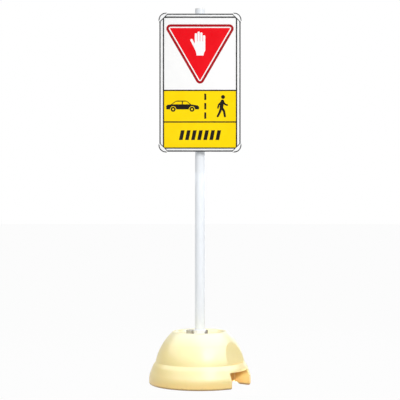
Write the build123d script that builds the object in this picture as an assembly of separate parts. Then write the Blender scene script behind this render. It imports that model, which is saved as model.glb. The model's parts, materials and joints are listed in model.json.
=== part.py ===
from build123d import *
import os
from math import cos, radians, sin, sqrt, tan

# Portable sign stand: a fillable moulded base, a steel pole and a framed sign clamped to the pole.
# Millimetres. +Z is up, the sign faces -Y, and the origin is on the floor under the pole.

# Whole stand
OVERALL_HEIGHT = 1865.0
POLE_DIAMETER = 48.6
POLE_WALL = 1.8
SIGN_WIDTH = 400.0
SIGN_HEIGHT = 680.0
SIGN_BOTTOM = 1151.0

# Base tank
BASE_RADIUS = 252.5
BASE_HEIGHT = 260.0
TANK_WALL = 5.0
FOOT_RING_WIDTH = 49.5
FOOT_EDGE_ROUND = 8.0
UNDERSIDE_LIFT = 12.0
UNDERSIDE_RUN = 25.0
SKIRT_STRAIGHT = 42.0
SKIRT_LEAN = 20.6
SKIRT_ROUND = 70.0
LEDGE_HEIGHT = 93.0
LEDGE_ROUND = 50.0
SHOULDER_HEIGHT = 110.0
SHOULDER_INSET = 31.5
SHOULDER_ROUND = 3.0
DOME_ARC = 278.0
RIM_RADIUS = 134.5
RIM_WIDTH = 15.0
RIM_OUTER_ROUND = 10.0
RIM_INNER_ROUND = 6.0
DISH_DEPTH = 24.0
DISH_FLOOR_RADIUS = 106.0
DISH_ROUND = 6.0

# Hand holds in the skirt, and the flats above them
HOLD_ANGLES = (-32.2, 147.8)
HOLD_WIDTH = 166.0
HOLD_HEIGHT = 76.0
HOLD_DEPTH = 102.5
HOLD_CORNER = 10.0
HOLD_LIP_ROUND = 4.0
FLAT_INSET = 11.5
FLAT_LEAN = 18.4

# Pole socket and the collar in its mouth
SOCKET_CLEARANCE = 1.0
COLLAR_CLEARANCE = 0.3
COLLAR_WALL = 7.5
COLLAR_HEIGHT = 32.0
COLLAR_TOP_ROUND = 3.0
SPIGOT_WALL = 4.0
SPIGOT_LENGTH = 30.0
SEAT_CLEARANCE = 0.1
FLANGE_WIDTH = 4.0
FLANGE_THICKNESS = 4.0

# Wing bolt that locks the pole
LOCK_ANGLE = -40.0
LOCK_BOLT_RADIUS = 5.0
LOCK_BOLT_LIFT = 19.0
LOCK_BOLT_CLEARANCE = 0.05
LOCK_TIP_GAP = 0.3
LOCK_BOSS_RADIUS = 10.0
LOCK_BOSS_LENGTH = 4.0
WING_HUB_RADIUS = 7.5
WING_HUB_LENGTH = 9.0
WING_HUB_GAP = 0.6
WING_LOBE_RADIUS = 5.5
WING_REACH = 10.5
WING_SWEEP = 8.0
WING_THICKNESS = 4.0

# Filling neck, its seal and its cap
NECK_ANGLE = 139.0
NECK_RADIUS = 20.0
NECK_WALL = 4.0
NECK_HEIGHT = 20.0
NECK_GAP = 2.6
SEAL_THICKNESS = 2.0
CAP_CLEARANCE = 0.3
CAP_WALL = 2.7
CAP_ROOF = 4.0
CAP_OVERLAP = 13.0
CAP_ROUND = 1.5
CAP_FLUTES = 18
CAP_FLUTE_RADIUS = 2.0
CAP_FLUTE_DEPTH = 0.9

# Plugs in the two ends of the pole
FOOT_FLANGE = 4.0
FOOT_SPIGOT = 25.0
FOOT_CLEARANCE = 0.05
TOP_FLANGE = 6.0
TOP_SPIGOT = 25.0
TOP_CLEARANCE = 0.1
TOP_ROUND = 2.5
PLUG_WALL = 3.0

# Sign frame and what it holds
SIDE_FACE = 17.6
END_FACE = 15.1
FRAME_DEPTH = 18.0
FRAME_WALL = 1.4
FRAME_LIP = 3.0
SIGN_CORNER = 25.0
BAND_THICKNESS = 3.5
GROOVE_DEPTH = 5.5
GASKET_LEG = 0.8
GASKET_BEAD = 4.5
BEAD_RECESS = 1.2
SHEET_THICKNESS = 0.4
PANEL_THICKNESS = 3.0

# Corner guards
GUARD_CENTRE = 31.4
GUARD_REACH = 28.3
GUARD_WALL = 1.6
GUARD_CLEARANCE = 0.25
GUARD_GAP = 0.1
GUARD_TIP_ROUND = 3.0

# Back rails and pole clamps
RAIL_SPREAD = 200.0
RAIL_HEIGHT = 42.0
RAIL_FLANGE = 12.0
RAIL_GAUGE = 1.6
RAIL_BEND = 2.5
RAIL_END_GAP = 3.0
CLAMP_CLEARANCE = 0.3
CLAMP_SEAT = 14.0
CLAMP_HEIGHT = 30.0
CLAMP_OPENING = 3.0
CLAMP_FACE = 5.0
CLAMP_CORNER = 5.0
STRAP_GAUGE = 3.0
STRAP_HEIGHT = 26.0
STRAP_ROUND = 4.0
EAR_WIDTH = 12.0
EAR_GAP = 13.0

# Fasteners
BOLT_RADIUS = 4.0
BOLT_HOLE_CLEARANCE = 0.5
BOLT_FLATS = 13.0
BOLT_HEAD = 5.3
BOLT_END = 3.0
WASHER_RADIUS = 8.0
WASHER_CLEARANCE = 0.25
WASHER_THICKNESS = 1.6
NUT_HEIGHT = 6.5
NUT_CLEARANCE = 0.05
RIVET_RADIUS = 1.6
RIVET_HEAD_RADIUS = 3.2
RIVET_HEAD = 1.2
RIVET_TAIL = 1.5
RIVET_CLEARANCE = 0.1
RAIL_RIVET_INSET = 8.0
RAIL_RIVET_SPREAD = 10.0
GUARD_RIVET_ALONG = 26.0
GUARD_RIVET_SIDE_INSET = 8.0
GUARD_RIVET_END_INSET = 6.5

# Heights and radii that several pieces share
POLE_RADIUS = POLE_DIAMETER / 2
POLE_BORE = POLE_RADIUS - POLE_WALL
DISH_FLOOR = BASE_HEIGHT - DISH_DEPTH
SOCKET_FLOOR = UNDERSIDE_LIFT + TANK_WALL
DOME_RADIUS = BASE_RADIUS - SHOULDER_INSET
COLLAR_BORE = POLE_RADIUS + COLLAR_CLEARANCE
COLLAR_RADIUS = COLLAR_BORE + COLLAR_WALL
FLANGE_RADIUS = COLLAR_RADIUS + FLANGE_WIDTH
SEAT_RADIUS = COLLAR_BORE + SPIGOT_WALL + SEAT_CLEARANCE
LOCK_BOLT_HEIGHT = DISH_FLOOR + LOCK_BOLT_LIFT
LOCK_BOSS_END = COLLAR_RADIUS + LOCK_BOSS_LENGTH
CAP_BORE = NECK_RADIUS + CAP_CLEARANCE
CAP_RADIUS = CAP_BORE + CAP_WALL
NECK_TOP = DISH_FLOOR + NECK_HEIGHT
NECK_OFFSET = FLANGE_RADIUS + NECK_GAP + CAP_RADIUS
NECK_CENTRE = Pos(NECK_OFFSET * cos(radians(NECK_ANGLE)), NECK_OFFSET * sin(radians(NECK_ANGLE)))
GUARD_BORE = SIGN_CORNER + sqrt(2) * (GUARD_CENTRE - SIGN_CORNER) + GUARD_CLEARANCE
GUARD_RADIUS = GUARD_BORE + GUARD_WALL
GUARD_CHORD = sqrt(2) * GUARD_CENTRE - GUARD_REACH

# Planes of the sign across the depth, from the pole forward
SIGN_CENTRE = SIGN_BOTTOM + SIGN_HEIGHT / 2
CLAMP_BORE = POLE_RADIUS + CLAMP_CLEARANCE
WEB_BACK = -(CLAMP_BORE + CLAMP_SEAT)
FRAME_BACK = WEB_BACK - RAIL_GAUGE
FRAME_FRONT = FRAME_BACK - FRAME_DEPTH
GROOVE_FRONT = FRAME_FRONT + FRAME_LIP
SHEET_FRONT = GROOVE_FRONT + GASKET_LEG
SHEET_BACK = SHEET_FRONT + SHEET_THICKNESS
PANEL_BACK = SHEET_BACK + PANEL_THICKNESS
GROOVE_BACK = PANEL_BACK + GASKET_LEG
STRAP_FACE = CLAMP_OPENING - CLAMP_FACE
STRAP_BACK = STRAP_FACE + STRAP_GAUGE
BOLT_X = CLAMP_BORE + STRAP_GAUGE + EAR_GAP
EAR_END = BOLT_X + EAR_WIDTH
RAIL_CENTRES = {"upper": SIGN_CENTRE + RAIL_SPREAD, "lower": SIGN_CENTRE - RAIL_SPREAD}
BOLT_HOLE = BOLT_RADIUS + BOLT_HOLE_CLEARANCE
RIVET_HOLE = RIVET_RADIUS + RIVET_CLEARANCE


# Solids that stand on their own plane
UPRIGHT = (Align.CENTER, Align.CENTER, Align.MIN)


# Base tank
def tank_section():
    """Half section of the tank's outside."""
    foot = BASE_RADIUS - FOOT_RING_WIDTH
    ledge = BASE_RADIUS - tan(radians(SKIRT_LEAN)) * (LEDGE_HEIGHT - SKIRT_STRAIGHT)
    skirt = {
        (BASE_RADIUS, 0): FOOT_EDGE_ROUND,
        (BASE_RADIUS, SKIRT_STRAIGHT): SKIRT_ROUND,
        (ledge, LEDGE_HEIGHT): LEDGE_ROUND,
        (DOME_RADIUS, SHOULDER_HEIGHT): SHOULDER_ROUND,
    }
    dish = {
        (RIM_RADIUS, BASE_HEIGHT): RIM_OUTER_ROUND,
        (RIM_RADIUS - RIM_WIDTH, BASE_HEIGHT): RIM_INNER_ROUND,
        (DISH_FLOOR_RADIUS, DISH_FLOOR): DISH_ROUND,
    }
    with BuildSketch() as section:
        with BuildLine():
            Line((0, UNDERSIDE_LIFT), (foot - UNDERSIDE_RUN, UNDERSIDE_LIFT))
            middle = (foot - UNDERSIDE_RUN / 2, UNDERSIDE_LIFT / 2)
            TangentArc((foot - UNDERSIDE_RUN, UNDERSIDE_LIFT), middle, tangent=(1, 0))
            TangentArc((foot, 0), middle, tangent=(-1, 0))
            Polyline((foot, 0), *skirt)
            RadiusArc((DOME_RADIUS, SHOULDER_HEIGHT), (RIM_RADIUS, BASE_HEIGHT), -DOME_ARC)
            Polyline(*dish, (0, DISH_FLOOR), (0, UNDERSIDE_LIFT))
        make_face()
        for corner, radius in (skirt | dish).items():
            fillet(section.vertices().sort_by_distance(corner)[0], radius)
    return section.sketch


def hand_hold(grow):
    """Pocket under the skirt along +X, open below and outside, or its wall when grown."""
    inner = BASE_RADIUS - HOLD_DEPTH - grow
    outer = BASE_RADIUS + HOLD_CORNER
    roof = HOLD_HEIGHT + grow
    floor = -HOLD_CORNER
    size = Box(outer - inner, HOLD_WIDTH + 2 * grow, roof - floor)
    pocket = Pos((inner + outer) / 2, 0, (roof + floor) / 2) * size
    rounded = pocket.edges().filter_by(lambda edge: edge.center().X < BASE_RADIUS and edge.center().Z > 0)
    return fillet(rounded, HOLD_CORNER + grow)


def thumb_flat(grow):
    """Wedge that cuts the dome back to a leaning flat above a hand hold, along +X."""
    lean = tan(radians(FLAT_LEAN))
    foot = DOME_RADIUS - FLAT_INSET - grow / cos(radians(FLAT_LEAN))
    low = SHOULDER_HEIGHT - grow
    high = BASE_HEIGHT
    head = foot - lean * (high - low)
    outline = Polygon((foot, low), (BASE_RADIUS, low), (BASE_RADIUS, high), (head, high), align=None)
    return extrude(Plane.XZ * outline, DOME_RADIUS, both=True)


def hold_mouth(body, angle):
    """Edge where the roof of a hand hold breaks through the skirt."""
    roof = Rot(Z=angle) * Pos(BASE_RADIUS, 0, HOLD_HEIGHT)
    return body.edges().sort_by_distance(roof.position)[0]


def base_tank():
    """Moulded tank of even wall, with hand holds, top dish, pole socket and filling neck."""
    outside = tank_section()
    body = revolve(Plane.XZ * outside, Axis.Z)
    # The section's arcs become splines, because the flats' walls don't cut cleanly from revolved arcs
    cavity = revolve(Plane.XZ * offset(outside, -TANK_WALL).to_splines(), Axis.Z)
    for angle in HOLD_ANGLES:
        body -= Rot(Z=angle) * hand_hold(0)
        body -= Rot(Z=angle) * thumb_flat(0)
        body = fillet(hold_mouth(body, angle), HOLD_LIP_ROUND)
        cavity -= Rot(Z=angle) * hand_hold(TANK_WALL)
        cavity -= Rot(Z=angle) * thumb_flat(TANK_WALL)
    cavity -= Cylinder(SEAT_RADIUS + TANK_WALL, BASE_HEIGHT, align=UPRIGHT)
    body += NECK_CENTRE * Pos(0, 0, DISH_FLOOR) * Cylinder(NECK_RADIUS, NECK_HEIGHT, align=UPRIGHT)
    body -= cavity
    body -= Pos(0, 0, SOCKET_FLOOR) * Cylinder(POLE_RADIUS + SOCKET_CLEARANCE, BASE_HEIGHT, align=UPRIGHT)
    body -= Pos(0, 0, DISH_FLOOR - SPIGOT_LENGTH) * Cylinder(SEAT_RADIUS, BASE_HEIGHT, align=UPRIGHT)
    bore = Cylinder(NECK_RADIUS - NECK_WALL, NECK_HEIGHT + 2 * TANK_WALL, align=UPRIGHT)
    body -= NECK_CENTRE * Pos(0, 0, DISH_FLOOR - 2 * TANK_WALL) * bore
    return body


# Collar and lock bolt
def along_x(shape):
    """Turn a shape made along +Z to lie along +X at the lock bolt's height."""
    return Pos(0, 0, LOCK_BOLT_HEIGHT) * Rot(Y=90) * shape


def pole_collar():
    """Flanged bush in the mouth of the socket, with a boss for the lock bolt."""
    collar = Pos(0, 0, DISH_FLOOR) * Cylinder(COLLAR_RADIUS, COLLAR_HEIGHT, align=UPRIGHT)
    collar = fillet(collar.edges().sort_by(Axis.Z)[-1], COLLAR_TOP_ROUND)
    collar += Pos(0, 0, DISH_FLOOR) * Cylinder(FLANGE_RADIUS, FLANGE_THICKNESS, align=UPRIGHT)
    spigot = Cylinder(COLLAR_BORE + SPIGOT_WALL, SPIGOT_LENGTH, align=UPRIGHT)
    collar += Pos(0, 0, DISH_FLOOR - SPIGOT_LENGTH) * spigot
    collar += along_x(Cylinder(LOCK_BOSS_RADIUS, LOCK_BOSS_END, align=UPRIGHT))
    collar -= Cylinder(COLLAR_BORE, 2 * BASE_HEIGHT, align=UPRIGHT)
    hole = Cylinder(LOCK_BOLT_RADIUS + LOCK_BOLT_CLEARANCE, 2 * LOCK_BOSS_END, align=UPRIGHT)
    return Rot(Z=LOCK_ANGLE) * (collar - along_x(hole))


def lock_bolt():
    """Wing bolt whose tip bears on the pole."""
    tip = POLE_RADIUS + LOCK_TIP_GAP
    hub = LOCK_BOSS_END + WING_HUB_GAP
    bolt = Pos(0, 0, tip) * Cylinder(LOCK_BOLT_RADIUS, hub + WING_HUB_LENGTH - tip, align=UPRIGHT)
    bolt += Pos(0, 0, hub) * Cylinder(WING_HUB_RADIUS, WING_HUB_LENGTH, align=UPRIGHT)
    root = Pos(0, hub + WING_HUB_LENGTH / 2) * Circle(WING_HUB_LENGTH / 2)
    for side in (-1, 1):
        lobe = Pos(side * WING_REACH, hub + WING_SWEEP) * Circle(WING_LOBE_RADIUS)
        wing = make_hull(root.edges() + lobe.edges())
        bolt += extrude(Plane.XZ * wing, WING_THICKNESS / 2, both=True)
    return Rot(Z=LOCK_ANGLE) * along_x(bolt)


# Filling neck's seal and cap
def cap_gasket():
    """Flat ring on the rim of the filling neck."""
    ring = Cylinder(NECK_RADIUS - CAP_CLEARANCE, SEAL_THICKNESS, align=UPRIGHT)
    ring -= Cylinder(NECK_RADIUS - NECK_WALL, SEAL_THICKNESS, align=UPRIGHT)
    return NECK_CENTRE * Pos(0, 0, NECK_TOP) * ring


def filler_cap():
    """Fluted screw cap over the neck."""
    skirt = CAP_OVERLAP + SEAL_THICKNESS
    cap = Cylinder(CAP_RADIUS, skirt + CAP_ROOF, align=UPRIGHT)
    cap = fillet(cap.edges().sort_by(Axis.Z)[-1], CAP_ROUND)
    cap -= Cylinder(CAP_BORE, skirt, align=UPRIGHT)
    reach = CAP_RADIUS + CAP_FLUTE_RADIUS - CAP_FLUTE_DEPTH
    flutes = PolarLocations(reach, CAP_FLUTES) * Cylinder(CAP_FLUTE_RADIUS, skirt, align=UPRIGHT)
    for flute in flutes:
        cap -= flute
    return NECK_CENTRE * Pos(0, 0, NECK_TOP - CAP_OVERLAP) * cap


# Pole and its two plugs
def pole_tube():
    """Round steel pipe from the foot plug to the top cap."""
    foot = SOCKET_FLOOR + FOOT_FLANGE
    length = OVERALL_HEIGHT - TOP_FLANGE - foot
    pipe = Cylinder(POLE_RADIUS, length, align=UPRIGHT) - Cylinder(POLE_BORE, length, align=UPRIGHT)
    return Pos(0, 0, foot) * pipe


def pole_plug(flange, spigot, clearance):
    """Cup with a flange as wide as the pole, standing on its flange."""
    radius = POLE_BORE - clearance
    plug = Cylinder(POLE_RADIUS, flange, align=UPRIGHT)
    plug += Cylinder(radius, flange + spigot, align=UPRIGHT)
    return plug - Pos(0, 0, flange) * Cylinder(radius - PLUG_WALL, spigot, align=UPRIGHT)


def pole_foot_plug():
    """Plug that stands on the socket's floor and carries the pole."""
    return Pos(0, 0, SOCKET_FLOOR) * pole_plug(FOOT_FLANGE, FOOT_SPIGOT, FOOT_CLEARANCE)


def pole_top_cap():
    """Plug that closes the top of the pole."""
    plug = pole_plug(TOP_FLANGE, TOP_SPIGOT, TOP_CLEARANCE)
    plug = fillet(plug.edges().filter_by(GeomType.CIRCLE).sort_by(Axis.Z)[0], TOP_ROUND)
    return Pos(0, 0, OVERALL_HEIGHT) * Rot(X=180) * plug


# Sign frame, in sketches seen from the front
def sign_outline(inset):
    """Rounded outline of the sign, drawn in by the inset."""
    return RectangleRounded(SIGN_WIDTH - 2 * inset, SIGN_HEIGHT - 2 * inset, SIGN_CORNER - inset)


def sign_opening(grow):
    """Opening inside the frame's faces, widened by the given amount."""
    return Rectangle(SIGN_WIDTH - 2 * (SIDE_FACE - grow), SIGN_HEIGHT - 2 * (END_FACE - grow))


def between(sketch, front, back):
    """Solid of a sign sketch between two planes across the depth."""
    return Pos(0, back, SIGN_CENTRE) * extrude(Plane.XZ * sketch, back - front)


def along_y(shape, x, z, start):
    """Place a shape made along +Z so that it runs backwards from a point of the sign."""
    return Pos(x, start, z) * Rot(X=-90) * shape


def rail_rivet_points():
    """Places of the rivets that hold the rails to the side frames."""
    reach = SIGN_WIDTH / 2 - RAIL_RIVET_INSET
    rows = [z + step for z in RAIL_CENTRES.values() for step in (-RAIL_RIVET_SPREAD, RAIL_RIVET_SPREAD)]
    return [(side * reach, z) for z in rows for side in (-1, 1)]


def guard_rivet_points():
    """Places of the two rivets behind each corner guard."""
    half_width = SIGN_WIDTH / 2
    half_height = SIGN_HEIGHT / 2
    on_side = (half_width - GUARD_RIVET_SIDE_INSET, half_height - GUARD_RIVET_ALONG)
    on_end = (half_width - GUARD_RIVET_ALONG, half_height - GUARD_RIVET_END_INSET)
    signs = [(sx, sz) for sx in (-1, 1) for sz in (-1, 1)]
    return [(sx * x, SIGN_CENTRE + sz * z) for sx, sz in signs for x, z in (on_side, on_end)]


def rivet(x, z, seat, grip):
    """Blind rivet with its head on the given plane, gripping forward."""
    shank = Cylinder(RIVET_RADIUS, grip + RIVET_TAIL, align=UPRIGHT)
    head = Pos(0, 0, grip + RIVET_TAIL) * Cylinder(RIVET_HEAD_RADIUS, RIVET_HEAD, align=UPRIGHT)
    head = fillet(head.edges().sort_by(Axis.Z)[-1], RIVET_HEAD / 2)
    return along_y(shank + head, x, z, seat - grip - RIVET_TAIL)


def rivet_hole(x, z):
    """Cutter for one rivet, through the back of the frame."""
    return along_y(Cylinder(RIVET_HOLE, FRAME_DEPTH, align=UPRIGHT), x, z, FRAME_BACK - FRAME_DEPTH / 2)


def frame_members():
    """Four mitred lengths of the frame extrusion, hollow and grooved for the panel."""
    ring = between(sign_outline(BAND_THICKNESS) - sign_opening(0), FRAME_FRONT, FRAME_BACK)
    hollow = sign_outline(BAND_THICKNESS + FRAME_WALL) - sign_opening(GROOVE_DEPTH + FRAME_WALL)
    ring -= between(hollow, FRAME_FRONT + FRAME_WALL, FRAME_BACK - FRAME_WALL)
    ring -= between(sign_opening(GROOVE_DEPTH), GROOVE_FRONT, GROOVE_BACK)
    ring -= between(sign_opening(GROOVE_DEPTH), GROOVE_BACK + FRAME_WALL, FRAME_BACK)
    for x, z in rail_rivet_points() + guard_rivet_points():
        ring -= rivet_hole(x, z)
    outer = (SIGN_WIDTH / 2, SIGN_HEIGHT / 2)
    inner = (outer[0] - SIDE_FACE, outer[1] - END_FACE)
    end = Polygon((-outer[0], outer[1]), (-inner[0], inner[1]), inner, outer, align=None)
    side = Polygon((outer[0], -outer[1]), outer, inner, (inner[0], -inner[1]), align=None)
    wedges = {"top": end, "bottom": Rot(Z=180) * end, "right": side, "left": Rot(Z=180) * side}
    return {name: ring & between(wedge, FRAME_FRONT, FRAME_BACK) for name, wedge in wedges.items()}


def edge_band():
    """Soft band round the outside of the frame."""
    return between(sign_outline(0) - sign_outline(BAND_THICKNESS), FRAME_FRONT, FRAME_BACK)


def panel_gasket():
    """U-shaped strip in the frame's groove, with a bead that shows round the print."""
    whole = sign_opening(GROOVE_DEPTH)
    strip = between(whole - sign_opening(-GASKET_BEAD), GROOVE_FRONT, SHEET_FRONT)
    strip += between(sign_opening(0) - sign_opening(-GASKET_BEAD), FRAME_FRONT + BEAD_RECESS, SHEET_FRONT)
    strip += between(whole - sign_opening(GROOVE_DEPTH - GASKET_LEG), GROOVE_FRONT, GROOVE_BACK)
    strip += between(whole - sign_opening(0), PANEL_BACK, GROOVE_BACK)
    return strip


def face_sheet():
    """Printed sheet on the front of the panel."""
    return between(sign_opening(GROOVE_DEPTH - GASKET_LEG), SHEET_FRONT, SHEET_BACK)


def sign_panel():
    """Stiff board in the frame's groove."""
    return between(sign_opening(GROOVE_DEPTH - GASKET_LEG), SHEET_BACK, PANEL_BACK)


# Corner guards
def guard_segment(radius, chord):
    """Segment of a circle beyond a chord, bulging along +X."""
    return Circle(radius) & (Pos(chord + radius, 0) * Rectangle(2 * radius, 4 * radius))


def corner_guards():
    """Shells that slip over the four corners of the frame, open along their chord."""
    outside = guard_segment(GUARD_RADIUS, GUARD_CHORD)
    outside = fillet(outside.vertices(), GUARD_TIP_ROUND)
    inside = guard_segment(GUARD_BORE, GUARD_CHORD - GUARD_WALL)
    front = FRAME_FRONT - GUARD_GAP
    back = FRAME_BACK + GUARD_GAP
    guards = {}
    for name, sx, sz, turn in (
        ("top_right", 1, 1, 45),
        ("top_left", -1, 1, 135),
        ("bottom_left", -1, -1, 225),
        ("bottom_right", 1, -1, 315),
    ):
        place = Pos(sx * (SIGN_WIDTH / 2 - GUARD_CENTRE), sz * (SIGN_HEIGHT / 2 - GUARD_CENTRE)) * Rot(Z=turn)
        guard = between(place * outside, front - GUARD_WALL, back + GUARD_WALL)
        guard -= between(place * inside, front, back)
        for x, z in guard_rivet_points():
            guard -= rivet_hole(x, z)
        guards[name] = guard
    return guards


# Back rails and clamps
def bolt_holes(centre):
    """Cutters for the two bolts of one clamp."""
    drill = Cylinder(BOLT_HOLE, 2 * FRAME_DEPTH - FRAME_BACK, align=UPRIGHT)
    return [along_y(drill, side * BOLT_X, centre, FRAME_FRONT) for side in (-1, 1)]


def back_rail(centre):
    """Channel across the back of the frame, its flanges towards the pole."""
    outline = Rectangle(RAIL_FLANGE, RAIL_HEIGHT, align=(Align.MIN, Align.CENTER))
    outline = fillet(outline.vertices().group_by(Axis.X)[0], RAIL_BEND)
    inner = Rectangle(RAIL_FLANGE, RAIL_HEIGHT - 2 * RAIL_GAUGE, align=(Align.MIN, Align.CENTER))
    inner = fillet(inner.vertices().group_by(Axis.X)[0], RAIL_BEND - RAIL_GAUGE)
    channel = outline - Pos(RAIL_GAUGE, 0) * inner
    rail = extrude(Plane.YZ * channel, SIGN_WIDTH / 2 - RAIL_END_GAP, both=True)
    rail = Pos(0, FRAME_BACK, centre) * rail
    for x, z in rail_rivet_points():
        rail -= rivet_hole(x, z)
    for hole in bolt_holes(centre):
        rail -= hole
    return rail


def clamp_block(centre):
    """Block between the rail and the pole, hollowed to the pole's curve."""
    length = -CLAMP_FACE - WEB_BACK
    outline = Pos(0, WEB_BACK + length / 2) * Rectangle(2 * EAR_END, length)
    outline = fillet(outline.vertices(), CLAMP_CORNER)
    outline -= Circle(CLAMP_BORE)
    block = Pos(0, 0, centre) * extrude(outline, CLAMP_HEIGHT / 2, both=True)
    for hole in bolt_holes(centre):
        block -= hole
    return block


def clamp_strap(centre):
    """Half band behind the pole, with an ear on each side."""
    reach = CLAMP_BORE + STRAP_GAUGE
    back_half = Rectangle(2 * EAR_END, 2 * reach, align=(Align.CENTER, Align.MIN))
    outline = Circle(reach) & (Pos(0, STRAP_FACE) * back_half)
    ears = Rectangle(2 * EAR_END, STRAP_GAUGE, align=(Align.CENTER, Align.MIN))
    outline += Pos(0, STRAP_FACE) * ears
    joint = sqrt(reach**2 - STRAP_BACK**2)
    roots = [outline.vertices().sort_by_distance((side * joint, STRAP_BACK))[0] for side in (-1, 1)]
    outline = fillet(roots, STRAP_ROUND)
    outline -= Circle(CLAMP_BORE)
    strap = Pos(0, 0, centre) * extrude(outline, STRAP_HEIGHT / 2, both=True)
    for hole in bolt_holes(centre):
        strap -= hole
    return strap


# Clamp fasteners, one group for each kind
def clamp_points():
    """Places of the four clamp bolts."""
    return [(side * BOLT_X, z) for z in RAIL_CENTRES.values() for side in (-1, 1)]


def clamp_bolts():
    """Hexagon bolts with their heads in front of the rails."""
    length = STRAP_BACK - FRAME_BACK + WASHER_THICKNESS + NUT_HEIGHT + BOLT_END
    head = extrude(RegularPolygon(BOLT_FLATS / 2, 6, major_radius=False), BOLT_HEAD)
    bolt = head + Pos(0, 0, BOLT_HEAD) * Cylinder(BOLT_RADIUS, length, align=UPRIGHT)
    return [along_y(bolt, x, z, FRAME_BACK - BOLT_HEAD) for x, z in clamp_points()]


def clamp_washers():
    """Plain washers between the straps and the nuts."""
    washer = Cylinder(WASHER_RADIUS, WASHER_THICKNESS, align=UPRIGHT)
    washer -= Cylinder(BOLT_RADIUS + WASHER_CLEARANCE, WASHER_THICKNESS, align=UPRIGHT)
    return [along_y(washer, x, z, STRAP_BACK) for x, z in clamp_points()]


def clamp_nuts():
    """Hexagon nuts behind the straps."""
    nut = extrude(RegularPolygon(BOLT_FLATS / 2, 6, major_radius=False), NUT_HEIGHT)
    nut -= Cylinder(BOLT_RADIUS + NUT_CLEARANCE, NUT_HEIGHT, align=UPRIGHT)
    return [along_y(nut, x, z, STRAP_BACK + WASHER_THICKNESS) for x, z in clamp_points()]


def rail_rivets():
    """Rivets that hold the rails to the frame."""
    return [rivet(x, z, WEB_BACK, RAIL_GAUGE + FRAME_WALL) for x, z in rail_rivet_points()]


def guard_rivets():
    """Rivets that hold the corner guards to the frame."""
    seat = FRAME_BACK + GUARD_GAP + GUARD_WALL
    return [rivet(x, z, seat, GUARD_GAP + GUARD_WALL + FRAME_WALL) for x, z in guard_rivet_points()]


def stand():
    """Every piece of the stand by its name."""
    pieces = {
        "base_tank": base_tank(),
        "pole_collar": pole_collar(),
        "lock_bolt": lock_bolt(),
        "cap_gasket": cap_gasket(),
        "filler_cap": filler_cap(),
        "pole_foot_plug": pole_foot_plug(),
        "pole_tube": pole_tube(),
        "pole_top_cap": pole_top_cap(),
        "edge_band": edge_band(),
        "panel_gasket": panel_gasket(),
        "face_sheet": face_sheet(),
        "sign_panel": sign_panel(),
        "clamp_bolts": Compound(clamp_bolts()),
        "clamp_washers": Compound(clamp_washers()),
        "clamp_nuts": Compound(clamp_nuts()),
        "rail_rivets": Compound(rail_rivets()),
        "guard_rivets": Compound(guard_rivets()),
    }
    for name, member in frame_members().items():
        pieces["frame_" + name] = member
    for name, guard in corner_guards().items():
        pieces["corner_guard_" + name] = guard
    for name, centre in RAIL_CENTRES.items():
        pieces["back_rail_" + name] = back_rail(centre)
        pieces["clamp_block_" + name] = clamp_block(centre)
        pieces["clamp_strap_" + name] = clamp_strap(centre)
    return pieces


os.makedirs("parts", exist_ok=True)
for node, shape in stand().items():
    export_step(shape, "parts/" + node + ".step")
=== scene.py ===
import json
import math

import bmesh
import bpy
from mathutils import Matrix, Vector


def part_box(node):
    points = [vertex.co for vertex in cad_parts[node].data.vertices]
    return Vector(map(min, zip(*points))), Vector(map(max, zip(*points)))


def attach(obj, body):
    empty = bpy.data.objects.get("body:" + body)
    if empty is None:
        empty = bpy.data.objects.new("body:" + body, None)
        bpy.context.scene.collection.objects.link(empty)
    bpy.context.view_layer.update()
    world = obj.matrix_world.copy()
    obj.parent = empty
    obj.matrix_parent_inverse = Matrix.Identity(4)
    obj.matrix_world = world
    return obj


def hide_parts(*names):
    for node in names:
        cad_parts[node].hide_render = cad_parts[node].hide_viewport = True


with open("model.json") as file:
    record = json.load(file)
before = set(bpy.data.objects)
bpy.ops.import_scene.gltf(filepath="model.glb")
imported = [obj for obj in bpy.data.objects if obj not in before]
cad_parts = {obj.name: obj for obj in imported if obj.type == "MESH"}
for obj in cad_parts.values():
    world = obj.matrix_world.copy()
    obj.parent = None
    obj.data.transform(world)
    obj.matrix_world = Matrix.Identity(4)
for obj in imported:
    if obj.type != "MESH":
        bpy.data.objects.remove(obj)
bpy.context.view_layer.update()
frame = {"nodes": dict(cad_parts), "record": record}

# Looks of the portable sign stand: finishes, softened edges, printed film and hardware detail.
# Metres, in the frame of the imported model: +Z up, the sign faces -Y.

MM = 0.001
NODES = frame["nodes"]
SLOTS = {row["node"]: row["material_slot"] for row in frame["record"]["subparts"]}
BODIES = {node: body for body, nodes in frame["record"]["behaviour"]["bodies"].items() for node in nodes}

# Camera: level, straight in front of the pole
CAMERA_DISTANCE = 6.0
CAMERA_HEIGHT = 0.9123
VIEW_WIDTH = 1.9908
SENSOR_WIDTH = 36.0

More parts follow.
